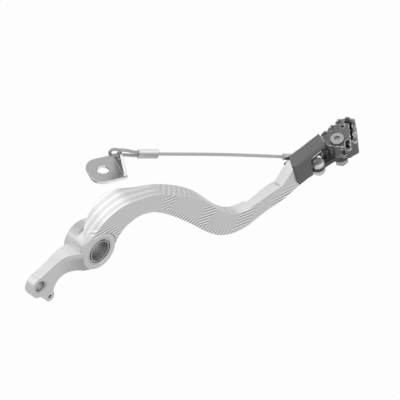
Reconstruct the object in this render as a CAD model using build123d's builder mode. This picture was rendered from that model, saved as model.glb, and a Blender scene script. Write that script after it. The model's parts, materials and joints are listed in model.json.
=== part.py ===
from build123d import *
import math
import os

# Rear brake pedal with a folding toe tip and a snake cable.
# X points forward to the toe, -Y outboard, +Z up.
# The origin is on the pivot axis, in the middle of the boss. All sizes are in millimetres.

# Pivot boss
shaft_d = 15.0
boss_d = 29.0
boss_length = 22.0
bush_wall = 1.5
seal_d = 21.0
seal_depth = 3.0
seal_lip_clearance = 0.15
seal_can = 1.0
seal_lip = 0.5
seal_recess = 0.3
boss_edge = 0.6
bore_edge = 0.5

# Main arm, seen from the side (X, Z)
arm_heel = [(-13.4, 1.0), (-15.6, 7.6), (-14.2, 16.0), (-8.0, 27.0)]
arm_block = [(7.0, 42.0), (37.0, 42.0), (90.0, 14.0), (110.0, -12.0)]
arm_top_end = (155.2, -18.1)
arm_bottom = [
    (154.0, -31.0), (135.0, -36.7), (118.0, -41.4), (103.0, -38.0), (87.5, -25.0),
    (72.0, -9.8), (55.0, 3.4), (38.0, 9.9), (25.0, 9.2),
]
# Top of the arm: place along X, height Z at the front, and rise towards the back
arm_crown = [
    (-24.0, 0.5, 0.72), (-14.0, 9.5, 0.72), (-2.0, 19.8, 0.72), (8.0, 25.4, 0.76), (26.0, 29.3, 0.68),
    (41.0, 26.0, 0.46), (64.0, 15.9, 0.44), (87.5, 2.4, 0.3), (103.0, -14.8, 0.2), (116.0, -23.2, 0.1),
    (131.0, -22.1, 0.1), (155.0, -18.2, 0.1),
]
# A bevel from the top goes on round the boss, leaning back to the rear and upwards (X, Z)
heel_ridge = [(-14.7, -1.0), (-14.2, 4.0), (-11.6, 10.0), (-6.4, 16.6), (1.0, 21.8)]
heel_lean = 0.8
# Upper edge of the steep chamfer along the foot of the front (X, Z)
arm_foot = [
    (28.0, 9.6), (38.0, 12.6), (55.0, 8.0), (72.0, -4.8), (87.5, -20.0), (103.0, -33.0), (118.0, -36.6),
    (135.0, -33.0), (154.0, -31.3),
]
foot_slope = 2.4
# Outward offset of the arm, seen from above: flat facets in front, a smooth back
facet_x = [52.0, 78.0, 105.0, 128.0, 150.0]
facet_offset = [0.0, 4.0, 11.0, 15.0, 16.3]
back_line = [
    (-16.0, -8.0), (-9.0, -4.0), (4.0, 0.6), (30.0, -1.0), (56.0, -2.5), (78.0, -5.6), (105.0, -13.0), (128.0, -18.2),
]

# Short arm with the push-rod eye and the return-spring tab (X, Z)
eye_at = (-49.5, -8.3)
eye_d = 17.2
eye_hole_d = 8.0
eye_sink_d = 11.0
eye_sink_depth = 1.0
tab_at = (-41.2, -21.4)
tab_d = 8.0
tab_hole_d = 3.0
short_arm_front_y = -5.0
short_arm_flare = [(-36.0, 0.0), (-27.0, 0.6), (-20.0, 2.6), (-14.6, 5.4)]
short_arm_eye_thickness = 7.0
short_arm_root_thickness = 10.5
short_arm_taper_x = (-38.0, -17.0)
short_arm_upper = [(-18.5, 6.0), (-27.0, 6.6), (-40.0, 3.6)]
short_arm_root = (-11.2, 5.4)
short_arm_lower = [(-37.4, -15.5), (-33.6, -10.6), (-24.5, -7.9), (-16.5, -9.2), (-7.0, -12.5)]
arm_root_bearing = -12.0
arm_root_r = 14.0

# Toe end: everything there is square to the fold axis, which is pitched
toe_pitch = 11.0
fold_at = (189.9, -27.7, -22.8)
toe_front_y = -28.0
toe_thickness = 8.0
toe_block_x = (-20.0, -7.5)
toe_block_z = (0.8, 20.5)

# Folded channel over the toe block
sheet = 2.0
channel_x = (-21.7, 7.6)
channel_lip = 4.6
channel_flange_low = 3.5
channel_slant = 2.0
web_slant = 6.0
notch_x = -6.8
notch_z = 19.2
notch_radius = 4.0
bend_radius = 2.6
relief_d = 3.0
channel_screw_at = [(-10.3, 9.0), (-17.3, 9.0)]
screw_d = 4.0
screw_head_d = 6.6
screw_head_height = 2.3
screw_bite = 5.0
screw_socket = 2.5

# Fold pivot
fold_pin_d = 5.0
fold_head_d = 9.8
fold_head_height = 2.6
fold_head_dome = 1.5
tongue_d = 9.6
tongue_low = 0.0
tongue_thickness = 2.8
link_thickness = 3.2
link_eye_low = 1.2
link_stop_thickness = 2.3
link_stop_front = -1.0
link_stop_top = 13.0
joint_gap = 0.3
pin_clearance = 0.08
clip_d = 8.0
clip_groove_d = 4.0
clip_thickness = 0.8
clip_mouth = 2.8
pin_end = 0.9
hex_socket = 4.0
socket_depth = 1.4
fold_socket_depth = 0.5

# Toe tip, placed from the fold axis along the toe (x) and across it (y)
tip_at = (18.8, -2.3)
tip_outline = [(10.6, -0.6), (12.6, 9.6), (34.0, 10.7), (40.6, 3.2), (26.4, -14.6), (18.6, -13.4)]
tip_corner = 1.6
tip_plate_top = 17.5
tip_plate_thickness = 3.4
tip_wall = 2.6
tip_wall_low = 6.4
tip_floor = 2.2
tooth_height = 2.6
tooth_length = 4.4
tooth_count = [0, 3, 1, 3, 1, 0]
tooth_taper = 18.0
slot_width = 1.7
slot_end = 5.0
mud_slot = (7.6, 3.6)
mud_slot_at = (21.0, -10.6)
mud_slot_bearing = 50.0
drain_d = 2.4
drain_at = [(34.4, 5.6), (30.0, 4.4)]
tip_boss_d = 13.0
tip_screw_d = 5.0
tip_screw_clearance = 0.1
tip_head_d = 10.4
tip_head_height = 2.0
tip_head_edge = 0.5
tip_thread_end = 1.0
tip_washer_d = 11.0
tip_washer_thickness = 1.0
tip_nut_size = 8.5
tip_nut_height = 5.0
link_neck = 7.0

# Wire spring on the link
spring_wire_d = 1.3
spring_z = 14.3
spring_x = 6.8
spring_y = 1.4

# Snake cable: the rope's eye passes through the bracket's upright.
# Routes are points along the rope and above it, from the eye of the upright.
rope_d = 2.4
loop_at = (64.5, 36.0, 21.1)
lug_at = (168.2, -14.5, -5.8)
loop_route = [
    (9.8, 0.1), (5.6, 0.2), (1.0, 0.75), (-5.0, 0.8), (-11.4, -0.2), (-11.4, 6.2),
    (-5.5, 5.2), (0.6, 4.9), (5.6, 3.2), (9.8, 3.1),
]
ferrule_x = (9.8, 25.0)
ferrule_height = 7.2
ferrule_width = 4.4
ferrule_middle = 1.6
ferrule_edge = 0.8
cable_middle = [(56.0, 1.6), (88.0, 0.9)]
cable_drop = -0.6
arc_share = 0.45
lug_barrel_d = 4.6
lug_sheet = 1.5
lug_eye_d = 7.0
lug_top = 19.5
lug_ear = 1.5

# Snake bracket
bracket_yaw = -22.0
bracket_sheet = 2.0
bracket_width = 26.0
bracket_hole_d = 8.6
bracket_hole_x = -12.7
bracket_end_x = -23.5
bracket_corner = 9.0
bracket_bend_inside = 0.8
bracket_bend_outside = 1.7
upright_x = -3.0
upright_lift = 0.7
upright_d = 6.6
upright_hole_d = 4.8
upright_axis_height = 8.8

boss_r = boss_d / 2
bush_d = shaft_d + 2 * bush_wall
bush_length = boss_length - 2 * seal_depth
pitch = math.radians(toe_pitch)
toe = Plane(
    origin=fold_at,
    x_dir=(math.cos(pitch), 0, math.sin(pitch)),
    z_dir=(-math.sin(pitch), 0, math.cos(pitch)),
)
toe_side = Plane(fold_at, x_dir=toe.x_dir, z_dir=(0, -1, 0))
toe_section = Plane(fold_at, x_dir=(0, 1, 0), z_dir=toe.x_dir)
toe_axis = Axis(fold_at, toe.z_dir)
toe_front = toe_front_y - fold_at[1]
toe_back = toe_front + toe_thickness
toe_middle = (toe_front + toe_back) / 2
channel_top = toe_block_z[1] + sheet
flange_front = toe_front - sheet
flange_back = toe_back + sheet
channel_width = toe_thickness + 2 * sheet
channel_middle = (flange_front + flange_back) / 2
tongue_top = tongue_low + tongue_thickness
link_low = tongue_top + joint_gap
link_top = link_low + link_thickness
head_seat = link_top + joint_gap
clip_top = tongue_low - joint_gap
tip_bearing = math.degrees(math.atan2(tip_at[1], tip_at[0]))
tip_nut_low = link_eye_low - tip_washer_thickness - tip_nut_height
arm_front_y = -boss_length / 2
facet_y = [arm_front_y - step for step in facet_offset]
rope_line = Vector(*lug_at) - Vector(*loop_at)
rope_plane = Plane(loop_at, x_dir=rope_line, z_dir=rope_line.cross(Vector(0, 0, 1)))
rope_section = Plane(loop_at, x_dir=-rope_plane.z_dir, z_dir=rope_plane.x_dir)
cable_route = [(ferrule_x[1], ferrule_middle), *cable_middle, (rope_line.length, cable_drop)]
yaw = math.radians(bracket_yaw)
bracket_line = Vector(math.cos(yaw), math.sin(yaw), 0)
upright_at = Vector(*loop_at) + bracket_line * upright_x + Vector(0, 0, upright_lift)
bracket = Plane(upright_at, x_dir=bracket_line, z_dir=(0, 0, 1))
bracket_section = Plane(upright_at, x_dir=bracket.y_dir, z_dir=bracket.x_dir)
reach = 60.0
edge_marks = 300
row_steps = 5


def toe_point(x, z):
    """Side-view place (X, Z) of a point of the toe end."""
    place = toe.from_local_coords((x, 0, z))
    return (place.X, place.Z)


def front_y(x):
    """Y of the arm's front at a distance X, from facet to facet and then to the toe."""
    stations = list(zip(facet_x, facet_y)) + [(toe_start_x, toe_front_y)]
    if x <= stations[0][0]:
        return stations[0][1]
    for (x0, y0), (x1, y1) in zip(stations, stations[1:]):
        if x <= x1:
            return y0 + (y1 - y0) * (x - x0) / (x1 - x0)
    return stations[-1][1]


def facet_rows(points, slope):
    """Rows of points of an edge of the arm's front, one row for each facet.

    The edge is a smooth line through the given points (X, Z). It is moved along the slope
    from the front to the plane at the reach.
    """
    line = Spline(*points, mode=Mode.PRIVATE)
    marks = [line @ (index / edge_marks) for index in range(edge_marks + 1)]
    borders = [x for x in (*facet_x, toe_start_x) if points[0][0] < x < points[-1][0]]
    stations = [points[0][0], *borders, points[-1][0]]
    rows = []
    for x0, x1 in zip(stations, stations[1:]):
        row = []
        for index in range(row_steps + 1):
            x = x0 + (x1 - x0) * index / row_steps
            left = max((mark for mark in marks[:-1] if mark.X <= x), key=lambda mark: mark.X)
            right = min((mark for mark in marks if mark.X > left.X), key=lambda mark: mark.X)
            z = left.Y + (right.Y - left.Y) * (x - left.X) / (right.X - left.X)
            row.append((x, z + slope * (front_y(x) + reach)))
        rows.append(row)
    return rows


def crown_edge(y):
    """Line along the arm's top surface at a distance Y."""
    return Spline(*[(x, y, z + rise * (y - front_y(x))) for x, z, rise in arm_crown], mode=Mode.PRIVATE)


toe_top_left = toe_point(toe_block_x[0], toe_block_z[1])
toe_top_right = toe_point(toe_block_x[1], toe_block_z[1])
toe_low_right = toe_point(toe_block_x[1], toe_block_z[0])
toe_low_left = toe_point(toe_block_x[0], toe_block_z[0])
toe_start_x = toe_point(channel_x[0], channel_top)[0] - sheet
root_angle = math.radians(arm_root_bearing)
bottom_root = (arm_root_r * math.cos(root_angle), arm_root_r * math.sin(root_angle))

# Boss with the short arm, which is thinner towards the eye and flares into the boss
with BuildPart() as short_arm:
    with BuildSketch(Plane.XZ):
        with BuildLine():
            upper = Spline(short_arm_root, *short_arm_upper, (eye_at[0], eye_at[1] + eye_d / 2))
            rear = Polyline(upper @ 1, eye_at, (tab_at[0] - tab_d / 2, tab_at[1]))
            tab_line = Line(rear @ 1, (tab_at[0] + tab_d / 2, tab_at[1]))
            lower = Spline(tab_line @ 1, *short_arm_lower)
            Line(lower @ 1, upper @ 0)
        make_face()
        with Locations(eye_at):
            Circle(eye_d / 2)
        with Locations(tab_at):
            Circle(tab_d / 2)
    extrude(amount=reach, both=True)
    with BuildSketch(Plane.XY.offset(-reach)):
        with BuildLine():
            flare_points = [(x, short_arm_front_y - rise) for x, rise in short_arm_flare]
            flare = Spline(*flare_points, tangents=[(1, 0), (1, -0.8)])
            Polyline(
                flare @ 1,
                (0, (flare @ 1).Y),
                (0, short_arm_front_y + short_arm_root_thickness),
                (short_arm_taper_x[1], short_arm_front_y + short_arm_root_thickness),
                (short_arm_taper_x[0], short_arm_front_y + short_arm_eye_thickness),
                (-reach - boss_length, short_arm_front_y + short_arm_eye_thickness),
                (-reach - boss_length, short_arm_front_y),
                flare @ 0,
            )
        make_face()
    extrude(amount=2 * reach, mode=Mode.INTERSECT)

with BuildPart() as pivot_boss:
    with BuildSketch(Plane.XZ.offset(-boss_length / 2)):
        Circle(boss_r)
    extrude(amount=boss_length)
    chamfer(pivot_boss.edges().filter_by(GeomType.CIRCLE), boss_edge)
    add(short_arm.part)
    with BuildSketch(Plane.XZ.offset(-boss_length)):
        Circle(bush_d / 2)
    extrude(amount=2 * boss_length, mode=Mode.SUBTRACT)
    for side in (-1, 1):
        with BuildSketch(Plane.XZ.offset(side * boss_length / 2)):
            Circle(seal_d / 2)
        extrude(amount=-side * seal_depth, mode=Mode.SUBTRACT)
        with BuildSketch(Plane.XZ.offset(side * boss_length / 2)):
            Circle(seal_d / 2 + bore_edge)
        extrude(amount=-side * bore_edge, taper=45, mode=Mode.SUBTRACT)
    with BuildSketch(Plane.XZ.offset(-boss_length)):
        with Locations(eye_at):
            Circle(eye_hole_d / 2)
        with Locations(tab_at):
            Circle(tab_hole_d / 2)
    extrude(amount=2 * boss_length, mode=Mode.SUBTRACT)
    with BuildSketch(Plane.XZ.offset(-short_arm_front_y)):
        with Locations(eye_at):
            Circle(eye_sink_d / 2)
    extrude(amount=-eye_sink_depth, mode=Mode.SUBTRACT)
pivot_boss.part.label = "pivot_boss"

# Lever arm: side profile, plan, top and bevels cut each other out of one block
crown = Face.make_surface_from_curves(crown_edge(-reach), crown_edge(boss_length))
with BuildPart() as lever_arm:
    with BuildSketch(Plane.XZ):
        with BuildLine():
            heel = Spline(*arm_heel)
            Polyline(heel @ 1, *arm_block, arm_top_end, toe_top_left)
            Polyline(toe_top_left, toe_top_right, toe_low_right, toe_low_left)
            bottom = Spline(toe_low_left, *arm_bottom, bottom_root, tangents=[(-1, -0.3), (-0.2, -1)])
            Line(bottom @ 1, heel @ 0)
        make_face()
        Circle(boss_r, mode=Mode.SUBTRACT)
    extrude(amount=reach, both=True)
    with BuildSketch(Plane.XY.offset(-reach)):
        with BuildLine():
            facets = Polyline((-reach, arm_front_y), *zip(facet_x, facet_y), (toe_start_x, toe_front_y))
            Polyline(
                facets @ 1,
                (toe_start_x + reach, toe_front_y),
                (toe_start_x + reach, -2 * reach),
                (-reach, -2 * reach),
                facets @ 0,
            )
        make_face()
    extrude(amount=2 * reach, mode=Mode.SUBTRACT)
    with BuildSketch(Plane.XY.offset(-reach)):
        with BuildLine():
            back = Spline(*back_line, (toe_start_x, toe_front_y + toe_thickness), tangents=[(1, 0), (1, 0)])
            Polyline(
                back @ 1,
                (toe_start_x + reach, toe_front_y + toe_thickness),
                (toe_start_x + reach, 2 * reach),
                (-reach, 2 * reach),
                (-reach, back_line[0][1]),
                back @ 0,
            )
        make_face()
    extrude(amount=2 * reach, mode=Mode.SUBTRACT)
    extrude(crown, amount=reach, dir=(0, 0, 1), mode=Mode.SUBTRACT)
    with BuildSketch(Plane.XZ.offset(reach)):
        with BuildLine():
            heel_shift = heel_lean * (arm_front_y + reach)
            lean = Spline(*[(x + heel_shift, z - heel_shift) for x, z in heel_ridge])
            Polyline(
                lean @ 1,
                ((lean @ 1).X, (lean @ 1).Y + reach),
                ((lean @ 0).X - reach, (lean @ 1).Y + reach),
                ((lean @ 0).X - reach, (lean @ 0).Y),
                lean @ 0,
            )
        make_face()
    heel_length = 2 * reach * math.hypot(1, heel_lean, heel_lean)
    extrude(amount=heel_length, dir=(-heel_lean, 1, heel_lean), mode=Mode.SUBTRACT)
    with BuildSketch(Plane.XZ.offset(reach)):
        with BuildLine():
            foot = [Spline(*row) for row in facet_rows(arm_foot, foot_slope)]
            foot_start = foot[0] @ 0
            foot_end = foot[-1] @ 1
            Polyline(
                foot_end,
                (foot_end.X, foot_end.Y - reach),
                (foot_start.X, foot_end.Y - reach),
                foot_start,
            )
        make_face()
    extrude(amount=2 * reach * math.hypot(1, foot_slope), dir=(0, 1, -foot_slope), mode=Mode.SUBTRACT)
    add(short_arm.part, mode=Mode.SUBTRACT)
    with BuildSketch(toe.offset(tongue_low)):
        Circle(tongue_d / 2)
        with Locations((toe_block_x[1] / 2, (toe_front + toe_middle) / 2)):
            Rectangle(-toe_block_x[1] + sheet, toe_middle - toe_front)
    extrude(amount=tongue_thickness)
    with BuildSketch(toe.offset(clip_top)):
        Circle(fold_pin_d / 2)
    extrude(amount=channel_top, mode=Mode.SUBTRACT)
    with BuildSketch(toe_side.offset(-toe_back)):
        with Locations(*channel_screw_at):
            Circle(screw_d / 2)
    extrude(amount=screw_bite, mode=Mode.SUBTRACT)
lever_arm.part.label = "lever_arm"

# Plain bush, pressed in between the seals
with BuildPart() as pivot_bush:
    with BuildSketch(Plane.XZ.offset(-bush_length / 2)):
        Circle(bush_d / 2)
        Circle(shaft_d / 2, mode=Mode.SUBTRACT)
    extrude(amount=bush_length)
pivot_bush.part.label = "pivot_bush"


def shaft_seal(side):
    """Lip seal at one end of the boss: a can, a web and a lip round the shaft."""
    inner_face = side * (boss_length / 2 - seal_depth)
    outer_face = side * (boss_length / 2 - seal_recess)
    web_face = inner_face + side * seal_can
    lip_r = shaft_d / 2 + seal_lip_clearance
    with BuildPart() as seal:
        with BuildSketch(Plane.XY):
            with BuildLine():
                Polyline(
                    (lip_r, inner_face),
                    (seal_d / 2, inner_face),
                    (seal_d / 2, outer_face),
                    (seal_d / 2 - seal_can, outer_face),
                    (seal_d / 2 - seal_can, web_face),
                    (lip_r + seal_can, web_face),
                    (lip_r + seal_lip, outer_face),
                    (lip_r, outer_face),
                    close=True,
                )
            make_face()
        revolve(axis=Axis.Y)
    return seal.part


pivot_seal_outer = shaft_seal(-1)
pivot_seal_outer.label = "pivot_seal_outer"
pivot_seal_inner = shaft_seal(1)
pivot_seal_inner.label = "pivot_seal_inner"

# Folded channel: a U section along the toe, notched for the fold pivot
with BuildPart() as toe_channel:
    with BuildSketch(toe_section.offset(channel_x[0])) as section:
        with Locations((channel_middle, (channel_flange_low + channel_top) / 2)):
            Rectangle(channel_width, channel_top - channel_flange_low)
        fillet(section.vertices().group_by(Axis.Y)[-1], bend_radius)
        with Locations((channel_middle, (channel_flange_low + toe_block_z[1]) / 2)):
            Rectangle(toe_thickness, toe_block_z[1] - channel_flange_low, mode=Mode.SUBTRACT)
    extrude(amount=channel_x[1] + channel_lip - channel_x[0])
    with BuildSketch(toe_side.offset(-flange_back)):
        with Locations((channel_x[1], toe_block_z[1])):
            Rectangle(2 * channel_lip, reach, align=(Align.MIN, Align.MAX))
    extrude(amount=channel_width, mode=Mode.SUBTRACT)
    with BuildSketch(toe.offset(toe_block_z[1])):
        with BuildLine():
            Polyline(
                (channel_x[1], flange_front),
                (channel_x[1] + channel_lip, flange_back),
                (channel_x[1] + 2 * channel_lip, flange_front),
                close=True,
            )
        make_face()
    extrude(amount=2 * sheet, both=True, mode=Mode.SUBTRACT)
    with BuildSketch(toe_side.offset(-toe_middle)):
        with BuildLine():
            edge = FilletPolyline(
                (notch_x, channel_flange_low - sheet),
                (notch_x, notch_z),
                (channel_x[1] + sheet, notch_z),
                radius=notch_radius,
            )
            Polyline(edge @ 1, (channel_x[1] + sheet, channel_flange_low - sheet), edge @ 0)
        make_face()
    extrude(amount=toe_thickness, mode=Mode.SUBTRACT)
    with BuildSketch(toe_side.offset(-flange_back - sheet)):
        with BuildLine():
            Polyline(
                (channel_x[0], channel_top - bend_radius),
                (channel_x[0] + channel_slant, channel_flange_low),
                (channel_x[0] - channel_slant, channel_flange_low),
                close=True,
            )
        make_face()
    extrude(amount=channel_width + 2 * sheet, mode=Mode.SUBTRACT)
    with BuildSketch(toe.offset(toe_block_z[1] - sheet)):
        with BuildLine():
            Polyline(
                (channel_x[0], flange_front + bend_radius),
                (channel_x[0] + web_slant, flange_back),
                (channel_x[0] + web_slant, flange_back + sheet),
                (channel_x[0] - sheet, flange_back + sheet),
                (channel_x[0] - sheet, flange_front + bend_radius),
                close=True,
            )
        make_face()
    extrude(amount=channel_top, mode=Mode.SUBTRACT)
    with BuildSketch(toe.offset(channel_flange_low)):
        with Locations((channel_x[0], flange_front)):
            Circle(relief_d / 2)
    extrude(amount=channel_top, mode=Mode.SUBTRACT)
    with BuildSketch(toe_side.offset(-flange_back)):
        with Locations(*channel_screw_at):
            Circle(screw_d / 2)
    extrude(amount=sheet, mode=Mode.SUBTRACT)
toe_channel.part.label = "toe_channel"

# Two screws from the hidden side; the first also holds the cable's lug
with BuildPart() as channel_screws:
    for place, seat in zip(channel_screw_at, (flange_back + lug_sheet, flange_back)):
        with BuildSketch(toe_side.offset(-seat)):
            with Locations(place):
                Circle(screw_d / 2)
        extrude(amount=seat - toe_back + screw_bite)
        with BuildSketch(toe_side.offset(-seat)):
            with Locations(place):
                Circle(screw_head_d / 2)
        extrude(amount=-screw_head_height)
        with BuildSketch(toe_side.offset(-seat - screw_head_height)):
            with Locations(place):
                RegularPolygon(screw_socket / 2, 6, major_radius=False)
        extrude(amount=socket_depth, mode=Mode.SUBTRACT)
channel_screws.part.label = "channel_screws"

# Link between the fold pivot and the tip, with a stop that meets the end of the channel
with BuildPart() as tip_link:
    with BuildSketch(toe.offset(link_low)):
        Circle(tongue_d / 2)
        with Locations(Location((tip_at[0] / 2, tip_at[1] / 2, 0), (0, 0, tip_bearing))):
            Rectangle(math.hypot(*tip_at), link_neck)
    extrude(amount=link_thickness)
    with BuildSketch(toe.offset(link_eye_low)):
        with Locations(tip_at):
            Circle(tip_boss_d / 2)
    extrude(amount=link_top - link_eye_low)
    with BuildSketch(toe.offset(link_low)):
        with Locations((channel_x[1] + joint_gap, link_stop_front)):
            Rectangle(link_stop_thickness, flange_back - link_stop_front, align=(Align.MIN, Align.MIN))
    extrude(amount=link_stop_top - link_low)
    with BuildSketch(toe.offset(link_eye_low)):
        Circle(fold_pin_d / 2 + pin_clearance)
        with Locations(tip_at):
            Circle(tip_screw_d / 2 + tip_screw_clearance)
    extrude(amount=link_top - link_eye_low, mode=Mode.SUBTRACT)
tip_link.part.label = "tip_link"

# Headed pin of the fold, grooved for its clip
with BuildPart() as fold_bolt:
    with BuildSketch(toe.offset(head_seat)):
        Circle(fold_head_d / 2)
    extrude(amount=fold_head_height)
    fillet(fold_bolt.edges().filter_by(GeomType.CIRCLE).sort_by(toe_axis)[-1], fold_head_dome)
    with BuildSketch(toe.offset(clip_top - clip_thickness - pin_end)):
        Circle(fold_pin_d / 2)
    extrude(amount=head_seat - clip_top + clip_thickness + pin_end)
    with BuildSketch(toe.offset(clip_top - clip_thickness)):
        Circle(clip_d)
        Circle(clip_groove_d / 2, mode=Mode.SUBTRACT)
    extrude(amount=clip_thickness, mode=Mode.SUBTRACT)
    with BuildSketch(toe.offset(head_seat + fold_head_height)):
        RegularPolygon(hex_socket / 2, 6, major_radius=False)
    extrude(amount=-fold_socket_depth, mode=Mode.SUBTRACT)
fold_bolt.part.label = "fold_bolt"

# Retaining ring, open on one side
with BuildPart() as fold_clip:
    with BuildSketch(toe.offset(clip_top - clip_thickness)):
        Circle(clip_d / 2)
        Circle(clip_groove_d / 2, mode=Mode.SUBTRACT)
        with Locations((-clip_d / 2, 0)):
            Rectangle(clip_d, clip_mouth, mode=Mode.SUBTRACT)
    extrude(amount=clip_thickness)
fold_clip.part.label = "fold_clip"

# Wire spring from the toe block to the link
with BuildPart() as fold_spring:
    with BuildLine(toe_side.offset(-spring_y)) as spring_line:
        FilletPolyline(
            (toe_block_x[1], spring_z),
            (spring_x, spring_z),
            (spring_x, link_top + joint_gap),
            radius=2 * spring_wire_d,
        )
    with BuildSketch(Plane(spring_line.wire() @ 0, z_dir=spring_line.wire() % 0)):
        Circle(spring_wire_d / 2)
    sweep(path=spring_line.wire())
fold_spring.part.label = "fold_spring"

# Serrated tip: a box with a toothed rim, mud slots, a window on the near side and a boss on the link
tip_edges = list(zip(tip_outline, tip_outline[1:] + tip_outline[:1]))


def along(start, end, distance, inset):
    """Place and bearing of a point on an edge of the tip's outline, moved inwards by inset."""
    bearing = math.atan2(end[1] - start[1], end[0] - start[0])
    x = start[0] + distance * math.cos(bearing) + inset * math.sin(bearing)
    y = start[1] + distance * math.sin(bearing) - inset * math.cos(bearing)
    return Location((x, y, 0), (0, 0, math.degrees(bearing)))


with BuildPart() as toe_tip:
    with BuildSketch(toe.offset(tip_wall_low)) as cup:
        with BuildLine():
            Polyline(*tip_outline, close=True)
        make_face()
        fillet(cup.vertices(), tip_corner)
    extrude(amount=tip_plate_top - tip_wall_low)
    with BuildSketch(toe.offset(tip_wall_low + tip_floor)) as hollow:
        with BuildLine():
            Polyline(*tip_outline, close=True)
        make_face()
        fillet(hollow.vertices(), tip_corner)
        offset(amount=-tip_wall, mode=Mode.REPLACE)
    extrude(amount=tip_plate_top - tip_plate_thickness - tip_wall_low - tip_floor, mode=Mode.SUBTRACT)
    window_start, window_end = tip_edges[-1]
    window_length = math.dist(window_start, window_end)
    with BuildSketch(toe.offset(tip_wall_low + tip_floor)):
        with Locations(along(window_start, window_end, window_length / 2, 0)):
            Rectangle(window_length - 2 * tip_wall, 2 * tip_wall + 2 * tip_corner)
    extrude(amount=tip_plate_top - tip_plate_thickness - tip_wall_low - tip_floor, mode=Mode.SUBTRACT)
    with BuildSketch(toe.offset(link_top)):
        with Locations(tip_at):
            Circle(tip_boss_d / 2)
    extrude(amount=tip_plate_top - link_top)
    for (start, end), count in zip(tip_edges, tooth_count):
        length = math.dist(start, end)
        for index in range(count):
            seat = along(start, end, length * (index + 0.5) / count, tip_wall / 2)
            with BuildSketch(toe.offset(tip_plate_top)):
                with Locations(seat):
                    Rectangle(tooth_length, tip_wall)
            extrude(amount=tooth_height, taper=tooth_taper)
    with BuildSketch(toe.offset(tip_plate_top)):
        for start, end in (tip_edges[2], tip_edges[3]):
            length = math.dist(start, end)
            with Locations(along(start, end, length / 2, tip_wall + slot_width / 2)):
                SlotOverall(length - slot_end, slot_width)
        with Locations(mud_slot_at):
            SlotOverall(mud_slot[0], mud_slot[1], rotation=mud_slot_bearing)
        with Locations(*drain_at):
            Circle(drain_d / 2)
    extrude(amount=-tip_plate_thickness, mode=Mode.SUBTRACT)
    with BuildSketch(toe.offset(link_top)):
        with Locations(tip_at):
            Circle(tip_screw_d / 2 + tip_screw_clearance)
    extrude(amount=tip_plate_top, mode=Mode.SUBTRACT)
toe_tip.part.label = "toe_tip"

# Bolt, washer and nut that hold the tip on the link
with BuildPart() as tip_bolt:
    with BuildSketch(toe.offset(tip_plate_top)):
        with Locations(tip_at):
            Circle(tip_head_d / 2)
    extrude(amount=tip_head_height)
    chamfer(tip_bolt.edges().filter_by(GeomType.CIRCLE).sort_by(toe_axis)[-1], tip_head_edge)
    with BuildSketch(toe.offset(tip_nut_low - tip_thread_end)):
        with Locations(tip_at):
            Circle(tip_screw_d / 2)
    extrude(amount=tip_plate_top - tip_nut_low + tip_thread_end)
    with BuildSketch(toe.offset(tip_plate_top + tip_head_height)):
        with Locations(tip_at):
            RegularPolygon(hex_socket / 2, 6, major_radius=False)
    extrude(amount=-socket_depth, mode=Mode.SUBTRACT)
tip_bolt.part.label = "tip_bolt"

with BuildPart() as tip_washer:
    with BuildSketch(toe.offset(link_eye_low)):
        with Locations(tip_at):
            Circle(tip_washer_d / 2)
            Circle(tip_screw_d / 2 + tip_screw_clearance, mode=Mode.SUBTRACT)
    extrude(amount=-tip_washer_thickness)
tip_washer.part.label = "tip_washer"

with BuildPart() as tip_nut:
    with BuildSketch(toe.offset(tip_nut_low)):
        with Locations(tip_at):
            RegularPolygon(tip_nut_size / 2, 6, major_radius=False)
            Circle(tip_screw_d / 2, mode=Mode.SUBTRACT)
    extrude(amount=tip_nut_height)
tip_nut.part.label = "tip_nut"


def corner_radii(points):
    """Largest arc that each corner of a route leaves room for."""
    radii = []
    for before, corner, after in zip(points, points[1:], points[2:]):
        arrive = Vector(*corner) - Vector(*before)
        leave = Vector(*after) - Vector(*corner)
        turn = math.radians(arrive.get_angle(leave))
        radii.append(arc_share * min(arrive.length, leave.length) / math.tan(turn / 2))
    return radii


# Snake cable, drawn in the upright plane through the rope
with BuildPart() as snake_cable:
    with BuildLine(rope_plane) as cable_line:
        FilletPolyline(*cable_route, radius=corner_radii(cable_route))
    with BuildSketch(Plane(cable_line.wire() @ 0, z_dir=cable_line.wire() % 0)):
        Circle(rope_d / 2)
    sweep(path=cable_line.wire())
snake_cable.part.label = "snake_cable"
print("cable length", sum(edge.length for edge in cable_line.edges()), "radii", corner_radii(cable_route))

with BuildPart() as cable_loop:
    with BuildLine(rope_plane) as loop_line:
        FilletPolyline(*loop_route, radius=corner_radii(loop_route))
    with BuildSketch(Plane(loop_line.wire() @ 0, z_dir=loop_line.wire() % 0)):
        Circle(rope_d / 2)
    sweep(path=loop_line.wire())
cable_loop.part.label = "cable_loop"
print("loop length", sum(edge.length for edge in loop_line.edges()), "radii", corner_radii(loop_route))

# Double-barrel crimp over the rope and its turned-back end
with BuildPart() as crimp_ferrule:
    with BuildSketch(rope_section.offset(ferrule_x[0])):
        with Locations((0, ferrule_middle)):
            SlotOverall(ferrule_height, ferrule_width, rotation=90)
    extrude(amount=ferrule_x[1] - ferrule_x[0])
    chamfer(crimp_ferrule.faces().sort_by(Axis(loop_at, rope_plane.x_dir))[-1].edges(), ferrule_edge)
crimp_ferrule.part.label = "crimp_ferrule"

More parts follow.
